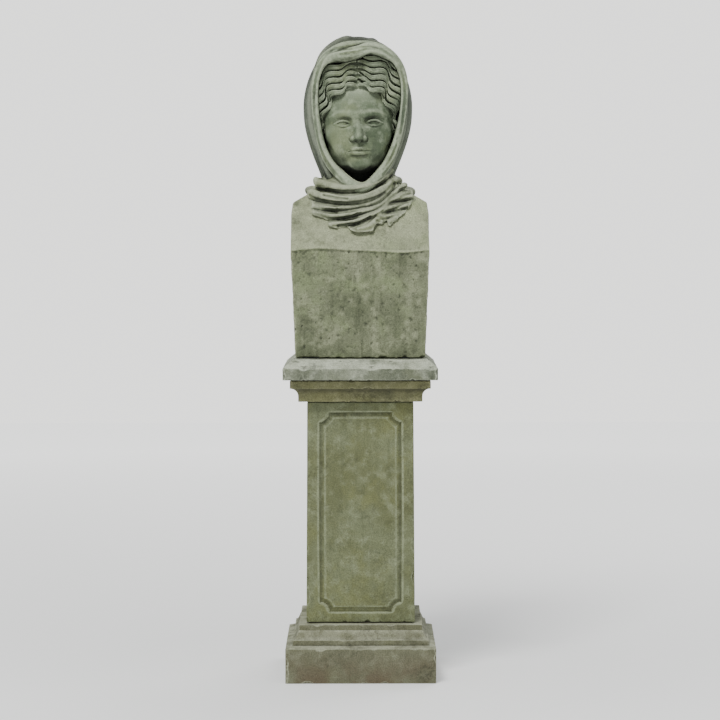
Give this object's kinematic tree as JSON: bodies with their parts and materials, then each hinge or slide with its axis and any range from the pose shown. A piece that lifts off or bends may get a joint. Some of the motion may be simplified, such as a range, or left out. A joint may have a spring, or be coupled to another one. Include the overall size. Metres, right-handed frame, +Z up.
{
  "type": "marble bust",
  "caption": "Veiled head on a square herm block, standing on a square pedestal with a panelled shaft, moulded base and moulded cap.",
  "frame": {"origin": "centre of the pedestal's foot, on the ground", "axes": "+Z up; the face looks along -Y; +X is the viewer's right when facing it"},
  "size_m": [0.358, 0.358, 1.5056],
  "materials": {
    "stone": "weathered olive-grey limestone, matt",
    "pale_stone": "rain-washed pale grey limestone, matt",
    "bust_stone": "weathered marble, greenish grey, matt",
    "mortar": "lime mortar, rough",
    "lead": "dull lead sheet and cast lead",
    "dowel_metal": "plain bronze rod"
  },
  "bodies": {
    "pedestal": {"base": "stone", "base_bed": "mortar", "base_dowels": "dowel_metal", "shaft": "stone", "shaft_bed": "mortar", "shaft_dowels": "dowel_metal", "cap_moulding": "stone", "cap_bed": "mortar", "cap_dowels": "dowel_metal", "cap_slab": "pale_stone", "bust_dowels": "dowel_metal", "bust_dowel_lead": "lead", "setting_pads": "lead"},
    "bust": {"herm_block": "bust_stone", "veil_bed": "mortar", "veil_dowels": "dowel_metal", "veil": "bust_stone", "head": "bust_stone", "head_bed": "mortar", "head_dowel": "dowel_metal"}
  },
  "joints": [
    {"name": "bust_lift", "type": "slide", "parent": "pedestal", "child": "bust", "axis": [0, 0, 1], "range_m": [0, 0.1]}
  ]
}
